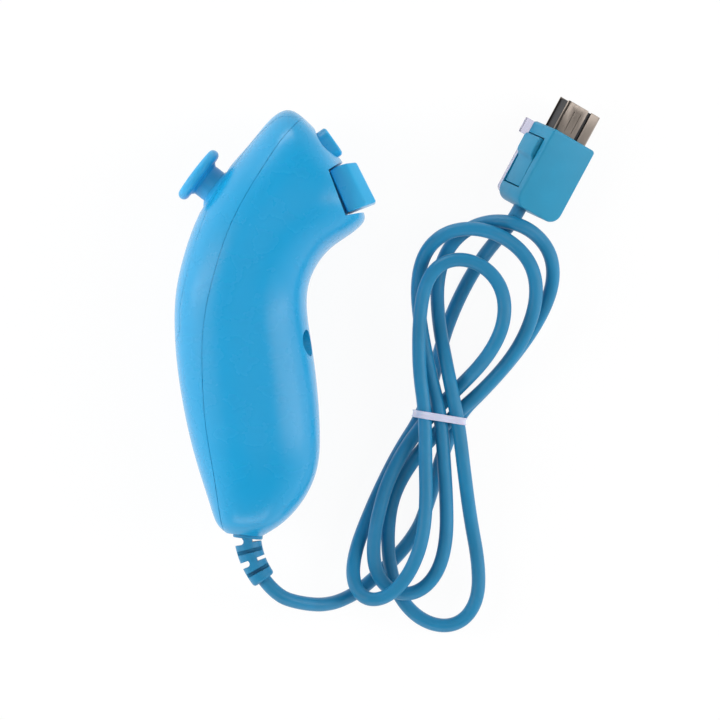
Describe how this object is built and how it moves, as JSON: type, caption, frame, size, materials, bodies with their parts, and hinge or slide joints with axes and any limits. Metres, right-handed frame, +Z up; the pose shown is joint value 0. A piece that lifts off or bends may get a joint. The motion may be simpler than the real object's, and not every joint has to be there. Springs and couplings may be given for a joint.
{
  "type": "motion controller wand",
  "caption": "Hand-held motion controller lying on its side, with thumb stick, top button, hinged trigger, strain relief, tied hank of cord and a plug with squeeze latches.",
  "frame": {"origin": "middle of the handset's outline seen from above, on the floor it lies on; the cord, hank and plug are left out of this outline", "axes": "+Y runs along the handset from its cord end to its head, +X from the thumb stick's side to the trigger's side, +Z up out of the flank that faces the viewer"},
  "size_m": [0.1073, 0.1451, 0.0381],
  "materials": {
    "blue_shell": "gloss",
    "blue_button": "gloss",
    "blue_stick": "fine satin",
    "blue_cord": "satin",
    "teal_plug": "fine texture",
    "white_tie": "satin",
    "nickel": "bright",
    "gold": "bright",
    "black_plastic": "satin",
    "grey_rubber": "satin",
    "clear_plastic": "clear",
    "board": "satin",
    "steel": "zinc plated"
  },
  "bodies": {
    "handset": {"front_cover": "blue_shell", "rear_shell": "blue_shell", "case_screws": "steel", "stick_frame": "steel", "centring_spring": "steel", "potentiometer_up": "black_plastic", "potentiometer_side": "black_plastic", "main_board": "board", "board_screws": "steel", "motion_sensor": "black_plastic", "controller_chip": "black_plastic", "wire_header": "black_plastic", "signal_wires": "grey_rubber", "trigger_pin": "steel", "button_board": "board", "button_membrane": "grey_rubber", "strain_relief": "blue_cord", "cord_lead": "blue_cord", "cord_hank": "blue_cord", "cord_tail": "blue_cord", "cord_tie": "white_tie", "plug_cover": "teal_plug", "plug_base": "teal_plug", "plug_shell": "nickel", "contact_block": "black_plastic", "contacts": "gold", "latch_pins": "steel", "strap_hook": "clear_plastic"},
    "cradle": {"stick_cradle": "black_plastic"},
    "stick": {"stick_cap": "blue_stick", "stick_shaft": "steel"},
    "cross_arm": {"stick_cross_arm": "black_plastic"},
    "top_button": {"c_button": "blue_button"},
    "trigger": {"z_trigger": "blue_button"},
    "left_latch": {"latch_left": "teal_plug"},
    "right_latch": {"latch_right": "teal_plug"}
  },
  "joints": [
    {"name": "stick_lengthwise_tilt", "type": "hinge", "parent": "handset", "child": "cradle", "pos_m": [-0.00946, 0.02941, 0.0191], "axis": [0, 0, 1], "range_deg": [-13, 13], "stiffness_Nm_per_rad": 0.02},
    {"name": "stick_sideways_tilt", "type": "hinge", "parent": "cradle", "child": "stick", "pos_m": [-0.00946, 0.02941, 0.0191], "axis": [0.4863, 0.8738, 0], "range_deg": [-13, 13], "stiffness_Nm_per_rad": 0.02},
    {"name": "cross_arm_tilt", "type": "hinge", "parent": "handset", "child": "cross_arm", "pos_m": [-0.00946, 0.02941, 0.0191], "axis": [0.4863, 0.8738, 0], "range_deg": [-13, 13]},
    {"name": "top_button_press", "type": "slide", "parent": "handset", "child": "top_button", "axis": [-0.7291, -0.6844, 0], "range_m": [0, 0.001], "stiffness_N_per_m": 400},
    {"name": "trigger_pull", "type": "hinge", "parent": "handset", "child": "trigger", "pos_m": [0.01149, 0.03693, 0.0191], "axis": [0, 0, -1], "range_deg": [0, 4.5], "stiffness_Nm_per_rad": 0.4},
    {"name": "left_latch_squeeze", "type": "hinge", "parent": "handset", "child": "left_latch", "pos_m": [0.06224, 0.04632, 0.01184], "axis": [-0.4834, 0.1778, -0.8572], "range_deg": [0, 4.5], "stiffness_Nm_per_rad": 0.2},
    {"name": "right_latch_squeeze", "type": "hinge", "parent": "handset", "child": "right_latch", "pos_m": [0.07205, 0.04271, 0.00555], "axis": [0.4834, -0.1778, 0.8572], "range_deg": [0, 4.5], "stiffness_Nm_per_rad": 0.2}
  ],
  "couplings": [
    {"joint": "cross_arm_tilt", "follows": "stick_sideways_tilt", "ratio": 1}
  ]
}
